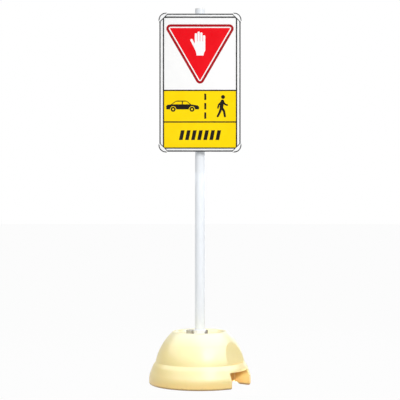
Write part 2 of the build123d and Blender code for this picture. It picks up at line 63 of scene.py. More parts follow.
# Light: an even soft surround; three panels over the base and one behind it; a lamp high in front,
# one on the left for the base, a small one that reaches into the hand hold, and one behind
SURROUND = 0.57
LAMPS = {
    "gloss_wide": {
        "place": (0.3, -0.7, 1.05), "aim": (0.3, -0.7, 0.0),
        "size": (4.8, 2.7), "power": 135.0, "spread": 180.0,
    },
    "gloss_right": {
        "place": (0.85, -0.4, 1.05), "aim": (0.85, -0.4, 0.0),
        "size": (2.9, 1.8), "power": 80.0, "spread": 180.0,
    },
    "gloss_core": {
        "place": (0.95, -0.3, 1.05), "aim": (0.95, -0.3, 0.0),
        "size": (1.5, 1.4), "power": 40.0, "spread": 180.0,
    },
    "rim_panel": {
        "place": (1.0, 2.4, 0.9), "aim": (0.0, 0.0, 0.15),
        "size": (1.4, 1.4), "power": 10.0, "spread": 180.0,
    },
    "front_lamp": {
        "place": (1.3, -3.2, 2.6), "aim": (0.0, 0.0, 1.35),
        "size": (1.6, 1.6), "power": 12.6, "spread": 66.0,
    },
    "fill_lamp": {
        "place": (-0.6, -3.1, 1.0), "aim": (-0.05, -0.1, 0.1),
        "size": (1.2, 1.2), "power": 0.9, "spread": 40.0,
    },
    "low_lamp": {
        "place": (0.75, -3.15, 0.62), "aim": (0.222, -0.08, 0.025),
        "size": (0.06, 0.06), "power": 0.027, "spread": 2.8,
    },
    "back_lamp": {
        "place": (0.8, 3.3, 1.8), "aim": (0.0, 0.0, 0.8),
        "size": (1.8, 1.8), "power": 8.0, "spread": 90.0,
    },
}
# The panels show only in gloss and have a cool tint; the lamp behind doesn't show in gloss
GLOSS_ONLY = ("gloss_wide", "gloss_right", "gloss_core", "rim_panel")
GLOSS_TINT = (0.78, 0.89, 1.0)
MATT_ONLY = ("back_lamp",)
WHITE = (1.0, 1.0, 1.0, 1.0)
FLOOR_DROP = 0.3 * MM
FLOOR_SIZE = 80.0
FLOOR_WHITE = 0.95
FLOOR_PAINT = 0.8

# Printed film on the sheet
FILM = 0.1 * MM
RULE_WIDTH = 6.5 * MM
UPPER_RULE = 1.4530
LOWER_RULE = 1.2971
TRIANGLE_TOP = 1.7788
TRIANGLE_TIP = 1.4866
TRIANGLE_WIDTH = 0.332
TRIANGLE_ROUND = 21.0 * MM
TRIANGLE_STEPS = 24
BORDER_WIDTH = 12.3 * MM
LINE_WIDTH = 5.5 * MM
HAND_PLACE = (0.0, 1.685)
SYMBOL_SCALE = 1.22
CAR_PLACE = -0.086
CAR_DROP = 0.0275
LINE_PLACE = 0.026
WALKER_PLACE = 0.108
WALKER_DROP = 0.0205

# Softened edges
WELD = 0.002 * MM
FLAT_ANGLE = math.radians(0.6)
SHARP_ANGLE = math.radians(28.0)
EDGE_SEGMENTS = 2
SOFT_EDGES = {
    "frame_": 0.5 * MM,
    "edge_band": 0.6 * MM,
    "panel_gasket": 0.5 * MM,
    "back_rail_": 0.3 * MM,
    "clamp_block_": 0.8 * MM,
    "clamp_strap_": 0.5 * MM,
    "clamp_washers": 0.25 * MM,
    "lock_bolt": 0.7 * MM,
    "pole_collar": 0.8 * MM,
    "filler_cap": 0.3 * MM,
}
GUARD_ROUND = 0.5 * MM
ARC_SLACK = 0.02 * MM
# Dark rim round each corner guard's front and dark strip along its chord: painted shade lines
SHADE_RIM_MARGIN = 0.5 * MM
SHADE_RIM_WIDTH = 5.0 * MM
SHADE_RIM_HEIGHT = 0.5 * MM
SHADE_RIM_ROUND = 0.2 * MM
SHADE_RIM_TAPER = 7.0
SHADE_RIM_STEPS = 36
SHADE_LIP_WIDTH = 3.5 * MM
SHADE_LIP_HEIGHT = 1.2 * MM
SHADE_LIP_ROUND = 0.4 * MM
# Gasket bead, whose lap over frame and print is a painted shadow line
BEAD_SHADOW_LAP = 0.8 * MM
BEAD_RISE = 0.5 * MM
# Dark strips on the frame's front along its outer edge: a painted shadow line
SHADOW_LINE_WIDTH = 5.6 * MM
SHADOW_LINE_MARGIN = 0.3 * MM
SHADOW_LINE_HEIGHT = 0.08 * MM
SHADOW_LINE_END = 36.0 * MM

# Finishes: the range that most of a noise lies in, a pattern that isn't stretched, and how finely
# corners are felt; the darkening in corners, painted shade on coats and mouldings, has its reach,
# how open a corner is where it comes in, and its tone
NOISE_SPAN = (0.3, 0.7)
EVEN = (1.0, 1.0, 1.0)
CORNER_SAMPLES = 8
COAT_CORNER_SHADE = (0.006, (0.25, 0.75), 0.4)
METAL_CORNER_DARK = (0.004, (0.2, 0.7), 0.35)

# Tank: its colours, the heights between which they come in, how far corners and hollows are felt,
# and how open a place is where their colours come in; the warm colour low down and the colours in the
# crease, the dish, the hand holds and the deepest corners are painted shade, the dark colour along the
# lower edge is a painted contact shadow, and the stains are splashed dirt
CREAM = ((0.93, 0.75, 0.29), (0.94, 0.78, 0.33))
TOP_COLOUR = (0.95, 0.84, 0.48)
TOP_HEIGHTS = (0.20, 0.25)
FOOT_SHADE_COLOUR = (0.94, 0.74, 0.32)
FOOT_SHADE_HEIGHTS = (0.0, 0.11)
CREASE_SHADE_COLOUR = (0.94, 0.65, 0.22)
CREASE_REACH = 0.02
CREASE_OPEN = (0.55, 0.9)
DISH_SHADE_COLOUR = (0.70, 0.56, 0.34)
DISH_HEIGHTS = (0.22, 0.235)
DISH_REACH = 0.05
DISH_OPEN = (0.85, 0.4)
HOLLOW_SHADE_COLOUR = (0.97, 0.62, 0.17)
HOLLOW_HEIGHTS = (0.2, 0.1)
HOLLOW_REACH = 0.11
HOLLOW_OPEN = (0.8, 0.2)
DEEP_SHADE_COLOUR = (0.75, 0.38, 0.09)
DEEP_OPEN = (0.05, 0.4)
STAIN_COLOUR = (0.45, 0.33, 0.16)
STAIN_HEIGHTS = (0.035, 0.0)
STAIN_SPAN = (0.55, 0.8)
STAIN_MOST = 0.5
CONTACT_SHADOW_COLOUR = (0.17, 0.09, 0.03)
CONTACT_SHADOW_HEIGHTS = (0.011, 0.002)
CONTACT_SHADOW_LEAST = 0.7

# Pale coats and mouldings: dark and light colour, roughness, grains to the metre and their depth
COATED = {
    "white_plastic": ((0.84, 0.85, 0.86), (0.89, 0.89, 0.89), 0.38, 700.0, 0.08 * MM),
    "frame_metal": ((0.81, 0.82, 0.83), (0.87, 0.87, 0.87), 0.42, 1100.0, 0.06 * MM),
    "panel_board": ((0.74, 0.74, 0.73), (0.80, 0.80, 0.78), 0.5, 500.0, 0.05 * MM),
    "cap_plastic": ((0.36, 0.34, 0.29), (0.46, 0.43, 0.37), 0.42, 500.0, 0.08 * MM),
}
# Rubber and dark plastic: dark and light colour, roughness and level of gloss
RUBBER = {
    "edge_rubber": ((0.020, 0.021, 0.022), (0.040, 0.041, 0.042), 0.6, 0.06),
    "seal_rubber": ((0.012, 0.012, 0.012), (0.03, 0.03, 0.03), 0.65, 0.1),
    "plug_plastic": ((0.015, 0.015, 0.016), (0.035, 0.035, 0.036), 0.5, 0.2),
    "block_plastic": ((0.03, 0.03, 0.032), (0.06, 0.06, 0.062), 0.5, 0.2),
}
# Bare metal: dark and light colour, roughness and clouds to the metre
METAL = {
    "zinc_steel": ((0.40, 0.40, 0.40), (0.56, 0.56, 0.57), 0.34, 90.0),
    "bolt_steel": ((0.20, 0.18, 0.16), (0.34, 0.31, 0.28), 0.4, 90.0),
    "rivet_metal": ((0.55, 0.55, 0.56), (0.68, 0.68, 0.69), 0.36, 150.0),
}
# Inks: dark and light colour
INK_COLOURS = {
    "dark_red": ((0.36, 0.006, 0.010), (0.41, 0.009, 0.013)),
    "white": ((0.91, 0.91, 0.91), (0.935, 0.935, 0.93)),
    "red": ((0.80, 0.004, 0.010), (0.86, 0.007, 0.014)),
    "yellow": ((0.96, 0.67, 0.002), (0.99, 0.71, 0.003)),
    "black": ((0.010, 0.008, 0.007), (0.018, 0.015, 0.013)),
}


# Shader building
def surface(name, roughness, metallic=0.0, **sockets):
    """New material with its shader's plain values set; returns it with its tree and shader."""
    material = bpy.data.materials.new(name)
    material.use_nodes = True
    tree = material.node_tree
    shader = tree.nodes["Principled BSDF"]
    shader.inputs["Roughness"].default_value = roughness
    shader.inputs["Metallic"].default_value = metallic
    for socket, value in sockets.items():
        shader.inputs[socket.replace("_", " ")].default_value = value
    return material, tree, shader


def add(tree, kind, inputs=None, **settings):
    """New node with its settings and inputs; an input is a value or another node's output."""
    node = tree.nodes.new("ShaderNode" + kind)
    for name, value in settings.items():
        setattr(node, name, value)
    for name, value in (inputs or {}).items():
        if isinstance(value, bpy.types.NodeSocket):
            tree.links.new(value, node.inputs[name])
        else:
            node.inputs[name].default_value = value
    return node


def place(tree, stretch=EVEN):
    """Object coordinates, stretched."""
    coordinates = add(tree, "TexCoord")
    mapping = add(tree, "Mapping", {"Vector": coordinates.outputs["Object"], "Scale": stretch})
    return mapping.outputs["Vector"]


def noise(tree, scale, detail, stretch=EVEN):
    """Cloudy noise of so many features to the metre."""
    inputs = {"Vector": place(tree, stretch), "Scale": scale, "Detail": detail}
    return add(tree, "TexNoise", inputs).outputs["Fac"]


def ramp(tree, value, low, high, to_low=0.0, to_high=1.0):
    """Value moved from one range to another and held inside it."""
    inputs = {"Value": value, "From Min": low, "From Max": high, "To Min": to_low, "To Max": to_high}
    return add(tree, "MapRange", inputs).outputs["Result"]


def clouds(tree, scale, detail, stretch=EVEN):
    """Noise spread out to run from 0 to 1."""
    return ramp(tree, noise(tree, scale, detail, stretch), *NOISE_SPAN)


def blend(tree, factor, first, second):
    """Colour between two colours."""
    node = add(tree, "Mix", data_type="RGBA")
    for index, value in ((0, factor), (6, first), (7, second)):
        if isinstance(value, bpy.types.NodeSocket):
            tree.links.new(value, node.inputs[index])
        else:
            node.inputs[index].default_value = (*value, 1.0)
    return node.outputs[2]


def product(tree, first, second):
    """Two values multiplied."""
    return add(tree, "Math", {0: first, 1: second}, operation="MULTIPLY").outputs["Value"]


def bumped(tree, shader, *layers):
    """Bump the shader by layers of height, strength and depth."""
    normal = None
    for height, strength, depth in layers:
        inputs = {"Height": height, "Strength": strength, "Distance": depth}
        if normal:
            inputs["Normal"] = normal
        normal = add(tree, "Bump", inputs).outputs["Normal"]
    tree.links.new(normal, shader.inputs["Normal"])


def coloured(tree, shader, colour):
    """Feed a colour to the shader."""
    tree.links.new(colour, shader.inputs["Base Color"])


def rough(tree, shader, value, low, high):
    """Let the roughness wander between two values."""
    tree.links.new(ramp(tree, value, *NOISE_SPAN, low, high), shader.inputs["Roughness"])


def height_between(tree, low, high):
    """Goes from 0 to 1 between two heights."""
    coordinates = add(tree, "TexCoord")
    split = add(tree, "SeparateXYZ", {"Vector": coordinates.outputs["Object"]})
    return ramp(tree, split.outputs["Z"], low, high)


def openness(tree, distance):
    """1 on open faces, falling to 0 deep in corners."""
    return add(tree, "AmbientOcclusion", {"Distance": distance}, samples=CORNER_SAMPLES).outputs["AO"]


def darkened_in_corners(tree, plain, dark, reach, span, share):
    """Plain colour that falls in the corners to a share of the dark one."""
    corner_dark = ramp(tree, openness(tree, reach), *span)
    return blend(tree, corner_dark, tuple(share * c for c in dark), plain)


# Materials
def tank_plastic():
    """Cream plastic, paler at the top, with painted shade low down, in creases, in the dish and in hand
    holds, splashed dirt near the bottom and a painted contact shadow along its lower edge.
    """
    material, tree, shader = surface(
        "tank_plastic", 0.45, Specular_IOR_Level=0.8,
        Subsurface_Weight=0.2, Subsurface_Scale=0.003, Subsurface_Radius=(1.0, 0.7, 0.4),
    )
    body = blend(tree, clouds(tree, 6.0, 4.0), *CREAM)
    # Paler towards the top
    paler_at_top = blend(tree, height_between(tree, *TOP_HEIGHTS), body, TOP_COLOUR)
    # Painted warm shade: a little more orange towards the bottom
    foot_shaded = blend(tree, height_between(tree, *FOOT_SHADE_HEIGHTS), FOOT_SHADE_COLOUR, paler_at_top)
    # Painted shade: warmer and darker in the crease between dome and skirt
    crease_shaded = blend(tree, ramp(tree, openness(tree, CREASE_REACH), *CREASE_OPEN), CREASE_SHADE_COLOUR, foot_shaded)
    # Painted shade: darker tan down in the dish on top
    shaded = ramp(tree, openness(tree, DISH_REACH), *DISH_OPEN)
    dish_shade = product(tree, shaded, height_between(tree, *DISH_HEIGHTS))
    dish_shaded = blend(tree, dish_shade, crease_shaded, DISH_SHADE_COLOUR)
    # Painted warm shade: orange in the hand holds, low down
    open_air = openness(tree, HOLLOW_REACH)
    hollow_shade = product(tree, ramp(tree, open_air, *HOLLOW_OPEN), height_between(tree, *HOLLOW_HEIGHTS))
    hollow_shaded = blend(tree, hollow_shade, dish_shaded, HOLLOW_SHADE_COLOUR)
    # Painted shade: brown in the deepest corners
    deep_shaded = blend(tree, ramp(tree, open_air, *DEEP_OPEN), DEEP_SHADE_COLOUR, hollow_shaded)
    splashes = ramp(tree, noise(tree, 60.0, 6.0), *STAIN_SPAN, 0.0, STAIN_MOST)
    stains = product(tree, splashes, height_between(tree, *STAIN_HEIGHTS))
    stained = blend(tree, stains, deep_shaded, STAIN_COLOUR)
    # Painted contact shadow: dark patches along the lower edge
    patches = ramp(tree, noise(tree, 40.0, 5.0), *NOISE_SPAN, CONTACT_SHADOW_LEAST, 1.0)
    contact_shadow = product(tree, patches, height_between(tree, *CONTACT_SHADOW_HEIGHTS))
    coloured(tree, shader, blend(tree, contact_shadow, stained, CONTACT_SHADOW_COLOUR))
    rough(tree, shader, noise(tree, 14.0, 5.0), 0.28, 0.38)
    waves, grain = noise(tree, 30.0, 2.0), noise(tree, 900.0, 2.0)
    bumped(tree, shader, (waves, 0.2, 0.4 * MM), (grain, 0.1, 0.12 * MM))
    return material


def coated(name, dark, light, roughness, grain, depth):
    """Painted or moulded surface with a faint grain, slight unevenness and painted shade in its corners.
    """
    material, tree, shader = surface(name, roughness)
    plain = blend(tree, clouds(tree, 9.0, 5.0), dark, light)
    # Painted shade: darker in the corners
    coloured(tree, shader, darkened_in_corners(tree, plain, dark, *COAT_CORNER_SHADE))
    rough(tree, shader, noise(tree, 40.0, 4.0), roughness - 0.06, roughness + 0.08)
    bumped(tree, shader, (noise(tree, 18.0, 2.0), 0.1, 0.3 * MM), (noise(tree, grain, 2.0), 0.15, depth))
    return material


def pole_paint():
    """Gloss white coat over steel, with a slight cold cast and faint lengthwise streaks."""
    material, tree, shader = surface(
        "pole_paint", 0.28, Specular_IOR_Level=0.2, Coat_Weight=0.1, Coat_Roughness=0.12,
    )
    streaks = clouds(tree, 60.0, 4.0, (1.0, 1.0, 0.03))
    coloured(tree, shader, blend(tree, streaks, (0.84, 0.875, 0.92), (0.875, 0.905, 0.94)))
    rough(tree, shader, noise(tree, 6.0, 1.0), 0.26, 0.31)
    bumped(tree, shader, (noise(tree, 350.0, 2.0), 0.05, 0.06 * MM))
    return material


def dark_rubber(name, dark, light, roughness, gloss):
    """Matt black or grey rubber or plastic with a dusty bloom."""
    material, tree, shader = surface(name, roughness, Specular_IOR_Level=gloss)
    dust = ramp(tree, noise(tree, 70.0, 6.0), 0.35, 0.75)
    coloured(tree, shader, blend(tree, dust, dark, light))
    rough(tree, shader, noise(tree, 120.0, 4.0), roughness - 0.1, roughness + 0.12)
    bumped(tree, shader, (noise(tree, 1400.0, 2.0), 0.2, 0.1 * MM))
    return material


def bare_metal(name, dark, light, roughness, scale):
    """Plated or plain metal with cloudy tarnish, darkening in its corners and fine scratches."""
    material, tree, shader = surface(name, roughness, 1.0)
    plain = blend(tree, clouds(tree, scale, 5.0), dark, light)
    # Darker in the corners
    coloured(tree, shader, darkened_in_corners(tree, plain, dark, *METAL_CORNER_DARK))
    rough(tree, shader, noise(tree, 3.0 * scale, 5.0), roughness - 0.08, roughness + 0.14)
    bumped(tree, shader, (noise(tree, 700.0, 3.0), 0.12, 0.08 * MM))
    return material


def galvanised():
    """Zinc-dipped sheet with its patchwork of crystals."""
    material, tree, shader = surface("galvanised", 0.42, 1.0)
    cells = add(tree, "TexVoronoi", {"Vector": place(tree), "Scale": 140.0, "Randomness": 1.0})
    grey = add(tree, "SeparateColor", {"Color": cells.outputs["Color"]}).outputs["Red"]
    coloured(tree, shader, blend(tree, grey, (0.42, 0.44, 0.46), (0.62, 0.64, 0.66)))
    tree.links.new(ramp(tree, grey, 0.0, 1.0, 0.34, 0.55), shader.inputs["Roughness"])
    bumped(tree, shader, (noise(tree, 260.0, 3.0), 0.1, 0.1 * MM))
    return material


def printed(name, dark, light):
    """Ink under a matt clear film: even colour and the film's slight ripple."""
    material, tree, shader = surface(name, 0.2, Specular_IOR_Level=0.06)
    coloured(tree, shader, blend(tree, clouds(tree, 16.0, 5.0), dark, light))
    rough(tree, shader, noise(tree, 30.0, 4.0), 0.16, 0.24)
    ripple, grain = noise(tree, 12.0, 2.0), noise(tree, 800.0, 2.0)
    bumped(tree, shader, (ripple, 0.06, 0.4 * MM), (grain, 0.05, 0.05 * MM))
    return material


MATERIALS = {
    "tank_plastic": tank_plastic(),
    "pole_paint": pole_paint(),
    "rail_steel": galvanised(),
    "printed_sheet": printed("printed_sheet", *INK_COLOURS["white"]),
}
for finish_of, values_of in ((coated, COATED), (dark_rubber, RUBBER), (bare_metal, METAL)):
    MATERIALS.update({name: finish_of(name, *values) for name, values in values_of.items()})
INKS = {name: printed("ink_" + name, *colours) for name, colours in INK_COLOURS.items()}
FINISHES = {node: MATERIALS[slot] for node, slot in SLOTS.items()}
FINISHES["lock_bolt"] = MATERIALS["bolt_steel"]


# Mesh building
def piece(name, shape, body, material):
    """New object from a mesh or an editable mesh, riding on a body."""
    mesh = shape
    if isinstance(shape, bmesh.types.BMesh):
        mesh = bpy.data.meshes.new(name)
        shape.to_mesh(mesh)
        shape.free()
    mesh.materials.clear()
    mesh.materials.append(material)
    made = bpy.data.objects.new(name, mesh)
    bpy.context.scene.collection.objects.link(made)
    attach(made, body)
    return made


def skin(shape, rings, ends=True):
    """Faces between rings of points, closed at both ends or round into a loop."""
    rows = [[shape.verts.new(point) for point in points] for points in rings]
    pairs = list(zip(rows, rows[1:]))
    if ends:
        shape.faces.new(rows[0])
        shape.faces.new(rows[-1])
    else:
        pairs.append((rows[-1], rows[0]))
    for low, high in pairs:
        for i in range(len(low)):
            j = (i + 1) % len(low)
            shape.faces.new((low[i], low[j], high[j], high[i]))


def finished(shape):
    """Shape with its faces turned outwards."""
    bmesh.ops.recalc_face_normals(shape, faces=shape.faces)
    return shape


def ring(centre, radius, along, steps=32):
    """Circle about an axis along +Y; the radius may depend on the angle."""
    points = []
    for i in range(steps):
        turn = 2 * math.pi * i / steps
        reach = radius(turn) if callable(radius) else radius
        points.append(centre + Vector((reach * math.cos(turn), along, reach * math.sin(turn))))
    return points


def film_shape(outlines, front, back):
    """Flat film cut to outlines of (x, z) points, between two planes across the depth."""
    shape = bmesh.new()
    for outline in outlines:
        skin(shape, [[(x, y, z) for x, z in outline] for y in (front, back)])
    return finished(shape)


def arc(centre, radius, start, end, steps=12):
    """Points along an arc, angles in degrees, both ends included."""
    turns = [math.radians(start + (end - start) * i / steps) for i in range(steps + 1)]
    return [(centre[0] + radius * math.cos(t), centre[1] + radius * math.sin(t)) for t in turns]


def disc(centre, radius, corners):
    """Points all the way round a circle."""
    return arc(centre, radius, 0, 360 - 360 / corners, corners - 1)


def rounded_hull(corners, radius, steps):
    """Convex outline, counter-clockwise, that stands a radius off its corners."""
    outline = []
    count = len(corners)
    for i, corner in enumerate(corners):
        before = Vector(corner) - Vector(corners[i - 1])
        after = Vector(corners[(i + 1) % count]) - Vector(corner)
        start = math.degrees(math.atan2(before.y, before.x)) - 90
        end = math.degrees(math.atan2(after.y, after.x)) - 90
        outline += arc(corner, radius, start, start + (end - start) % 360, steps)
    return outline


def rectangle(low_x, low_z, high_x, high_z):
    """Corners of an upright rectangle, counter-clockwise."""
    return [(low_x, low_z), (high_x, low_z), (high_x, high_z), (low_x, high_z)]


def moved(outline, centre, scale=1.0):
    """Outline in millimetres, scaled and brought to a centre in metres."""
    return [(centre[0] + scale * x * MM, centre[1] + scale * z * MM) for x, z in outline]


def united(outlines, front, back):
    """Film mesh of outlines that overlap, joined into one."""
    parts = []
    for outline in outlines:
        mesh = bpy.data.meshes.new("part")
        shape = film_shape([outline], front, back)
        shape.to_mesh(mesh)
        shape.free()
        parts.append(bpy.data.objects.new("part", mesh))
        bpy.context.scene.collection.objects.link(parts[-1])
    for other in parts[1:]:
        join = parts[0].modifiers.new("join", "BOOLEAN")
        join.operation = "UNION"
        join.solver = "EXACT"
        join.object = other
    joined = parts[0].evaluated_get(bpy.context.evaluated_depsgraph_get())
    whole = bpy.data.meshes.new_from_object(joined)
    for part in parts:
        bpy.data.objects.remove(part)
    return whole


# Symbols of the print, in millimetres about their own centre
FINGERS = ((20.3, 40.0), (6.8, 54.0), (-6.7, 58.0), (-20.2, 50.0))
FINGER_HALF = 5.75
FINGER_ROOT = 10.0
WHEEL_PLACES = ((-38.0, 10.0), (38.0, 10.0))
ARCH_RADIUS = 12.5
WHEEL_RADIUS = 10.0
HUB_RADIUS = 4.0
ROUND_CORNERS = 24
HUB_CORNERS = 18
LIMB_STEPS = 8
DASH_HALF = (4.0, 13.0)
DASH_HEIGHTS = (-38.0, 0.0, 38.0)
BAR_HALF = (9.0, 24.0)
BAR_LEAN = 5.0
BAR_PLACES = range(-90, 91, 30)


def hand_symbol():
    """Raised palm with four fingers and a thumb."""
    outline = [(17.0, -60.0), (19.5, -48.0), (26.05, -36.0)]
    for i, (x, top) in enumerate(FINGERS):
        outline += arc((x, top - FINGER_HALF), FINGER_HALF, 0, 180)
        if i + 1 < len(FINGERS):
            gap = (x - FINGERS[i + 1][0]) / 2 - FINGER_HALF
            outline += arc((x - FINGER_HALF - gap, FINGER_ROOT), gap, 0, -180, 6)
    outline += [(-25.95, -1.6)]
    outline += arc((-42.0, 16.0), 6.0, 27.8, 207.8)
    outline += [(-27.3, -24.8), (-21.0, -40.0), (-18.0, -50.0), (-17.0, -60.0)]
    return outline


def car_symbol():
    """Side of a car: its body, its windows and its wheels."""
    body = [(-66.0, 14.0), (-65.0, 9.5)]
    for hub in WHEEL_PLACES:
        body += arc(hub, ARCH_RADIUS, 182, -2)
    body += [(65.0, 9.5), (67.5, 14.0), (66.0, 21.0), (61.0, 25.5), (35.0, 29.5), (18.0, 43.0)]
    body += [(12.0, 45.0), (-22.0, 45.0), (-28.0, 43.0), (-48.0, 29.5), (-62.0, 28.0), (-66.0, 23.0)]
    windows = [
        [(1.0, 30.0), (30.0, 30.0), (16.0, 41.0), (1.0, 41.0)],
        [(-43.0, 30.0), (-3.0, 30.0), (-3.0, 41.0), (-26.0, 41.0)],
    ]
    wheels = [disc(hub, WHEEL_RADIUS, ROUND_CORNERS) for hub in WHEEL_PLACES]
    hubs = [disc(hub, HUB_RADIUS, HUB_CORNERS) for hub in WHEEL_PLACES]
    return [body] + wheels, windows + hubs


def walker_symbol():
    """Person on foot, as on crossing signs: limbs from point to point with their radius, and a head."""
    limbs = [
        ((2.0, 36.0), (-2.0, 14.0), 7.5),
        ((-2.0, 12.0), (-8.0, -6.0), 5.0),
        ((-8.0, -6.0), (-17.0, -24.0), 4.4),
        ((-1.0, 12.0), (9.0, -4.0), 5.0),
        ((9.0, -4.0), (12.0, -24.0), 4.4),
        ((1.0, 37.0), (-13.0, 22.0), 3.6),
        ((-13.0, 22.0), (-16.0, 10.0), 3.2),
        ((2.0, 37.0), (13.0, 24.0), 3.6),
        ((13.0, 24.0), (22.0, 21.0), 3.2),
    ]
    head = disc((4.5, 54.0), 8.0, ROUND_CORNERS)
    return [rounded_hull([start, end], radius, LIMB_STEPS) for start, end, radius in limbs], head


def stop_line_symbol():
    """Broken line across a road."""
    wide, high = DASH_HALF
    return [rectangle(-wide, z - high, wide, z + high) for z in DASH_HEIGHTS]


def crossing_symbol():
    """Row of leaning bars."""
    wide, high = BAR_HALF
    bar = [(-wide - BAR_LEAN, -high), (wide - BAR_LEAN, -high)]
    bar += [(wide + BAR_LEAN, high), (BAR_LEAN - wide, high)]
    return [[(across + x, z) for x, z in bar] for across in BAR_PLACES]


# Printed film
def gasket_front():
    """Depth of the gasket's front face and the points in it."""
    points = [point.co for point in NODES["panel_gasket"].data.vertices]
    front = min(co.y for co in points)
    return front, [co for co in points if co.y < front + WELD]


def add_print():
    """Triangle, rules, coloured fields and symbols on the white sheet."""
    sheet_low, sheet_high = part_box("face_sheet")
    bead = gasket_front()[1]
    right = min(abs(co.x) for co in bead)
    middle = (sheet_low.z + sheet_high.z) / 2
    low = middle - min(abs(co.z - middle) for co in bead)
    half = RULE_WIDTH / 2

    def film(name, ink, outlines, layer=1, whole=False):
        face = sheet_low.y - layer * FILM
        shape = (united if whole else film_shape)(outlines, face, face + FILM)
        piece("print_" + name, shape, "sign", INKS[ink])

    def enlarged(outlines, across, up):
        return [moved(outline, (across, up), SYMBOL_SCALE) for outline in outlines]

    film("field_upper", "yellow", [rectangle(-right, LOWER_RULE + half, right, UPPER_RULE - half)])
    film("field_lower", "yellow", [rectangle(-right, low, right, LOWER_RULE - half)])
    film("rule_upper", "black", [rectangle(-right, UPPER_RULE - half, right, UPPER_RULE + half)])
    film("rule_lower", "black", [rectangle(-right, LOWER_RULE - half, right, LOWER_RULE + half)])
    reach = TRIANGLE_WIDTH / 2 - TRIANGLE_ROUND
    top = TRIANGLE_TOP - TRIANGLE_ROUND
    corners = [(0.0, TRIANGLE_TIP + TRIANGLE_ROUND), (reach, top), (-reach, top)]
    line = TRIANGLE_ROUND - BORDER_WIDTH
    film("triangle_border", "dark_red", [rounded_hull(corners, TRIANGLE_ROUND, TRIANGLE_STEPS)])
    film("triangle_line", "white", [rounded_hull(corners, line, TRIANGLE_STEPS)], 2)
    film("triangle_field", "red", [rounded_hull(corners, line - LINE_WIDTH, TRIANGLE_STEPS)], 3)
    film("hand", "white", [moved(hand_symbol(), HAND_PLACE)], 4)
    centre = (UPPER_RULE + LOWER_RULE) / 2
    car, windows = car_symbol()
    film("car", "black", enlarged(car, CAR_PLACE, centre - CAR_DROP), 2)
    film("car_windows", "yellow", enlarged(windows, CAR_PLACE, centre - CAR_DROP), 3)
    film("stop_line", "black", enlarged(stop_line_symbol(), LINE_PLACE, centre), 2)
    limbs, head = walker_symbol()
    film("walker", "black", enlarged(limbs, WALKER_PLACE, centre - WALKER_DROP), 2, True)
    film("walker_head", "black", enlarged([head], WALKER_PLACE, centre - WALKER_DROP), 2)
    lower_centre = (0.0, (low + LOWER_RULE - half) / 2)
    film("crossing", "black", [moved(bar, lower_centre) for bar in crossing_symbol()], 2)


# Pieces with softened edges
def welded(node):
    """Editable copy of a piece with its flat faces joined."""
    source = NODES[node].data
    shape = bmesh.new()
    corners = [shape.verts.new(point.co) for point in source.vertices]
    for face in source.polygons:
        shape.faces.new([corners[i] for i in face.vertices])
    bmesh.ops.remove_doubles(shape, verts=shape.verts, dist=WELD)
    bmesh.ops.dissolve_limit(shape, angle_limit=FLAT_ANGLE, verts=shape.verts, edges=shape.edges)
    for face in shape.faces:
        face.smooth = True
    return shape


def round_edges(made, width):
    """Round the sharp edges of a piece."""
    bevel = made.modifiers.new("edges", "BEVEL")
    bevel.width = width
    bevel.segments = EDGE_SEGMENTS
    bevel.limit_method = "ANGLE"
    bevel.angle_limit = SHARP_ANGLE
    bevel.harden_normals = True


def stand_in(node, shape):
    """Piece that takes the place of a packed one."""
    made = piece(node + "_soft", shape, BODIES[node], FINISHES[node])
    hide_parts(node)
    return made


def soften():
    """Round the edges of the pieces that have plain sharp ones."""
    for start, width in SOFT_EDGES.items():
        for node in NODES:
            if node.startswith(start):
                round_edges(stand_in(node, welded(node)), width)


def rubber_and_shade_piece(name, shape):
    """New dark piece on the sign in the edge rubber's finish: the gasket bead, and strips that are
    painted shade lines.
    """
    return piece(name, shape, "sign", MATERIALS["edge_rubber"])


def circle_through(a, b, c):
    """Centre and radius of the circle through three points."""
    squares = [p[0] ** 2 + p[1] ** 2 for p in (a, b, c)]
    rises = (b[1] - c[1], c[1] - a[1], a[1] - b[1])
    runs = (c[0] - b[0], a[0] - c[0], b[0] - a[0])
    twice = 2 * (a[0] * rises[0] + b[0] * rises[1] + c[0] * rises[2])
    centre = tuple(sum(s * d for s, d in zip(squares, steps)) / twice for steps in (rises, runs))
    return centre, math.dist(centre, a)


def add_bead_with_shadow_lap():
    """Soft bead of the sheet's gasket, lapping a little over the frame and over the print; its dark lap
    is a painted shadow line along the frame's inner edge.
    """
    front, bead = gasket_front()
    low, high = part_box("face_sheet")
    middle = (low.z + high.z) / 2
    outer = (max(abs(co.x) for co in bead), max(abs(co.z - middle) for co in bead))
    width = outer[0] - min(abs(co.x) for co in bead)
    frame_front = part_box("frame_left")[0].y
    # Across the bead, from the frame to the print: inset from the gasket's outer edge, and depth
    profile = [
        (-BEAD_SHADOW_LAP, frame_front),
        (-BEAD_SHADOW_LAP, frame_front - 0.5 * BEAD_RISE),
        (-0.6 * BEAD_SHADOW_LAP, frame_front - BEAD_RISE),
        (0.4 * width, frame_front - BEAD_RISE),
        (0.8 * width, front - 0.5 * BEAD_RISE),
        (width + 0.6 * BEAD_SHADOW_LAP, low.y - 2 * BEAD_RISE),
        (width + BEAD_SHADOW_LAP, low.y - BEAD_RISE),
        (width + BEAD_SHADOW_LAP, low.y),
    ]
    rings = [
        [(a * (outer[0] - inset), depth, middle + b * (outer[1] - inset)) for inset, depth in profile]
        for a, b in ((-1, -1), (1, -1), (1, 1), (-1, 1))
    ]
    shape = bmesh.new()
    skin(shape, rings, False)
    rubber_and_shade_piece("gasket_bead_with_shadow_lap", finished(shape))


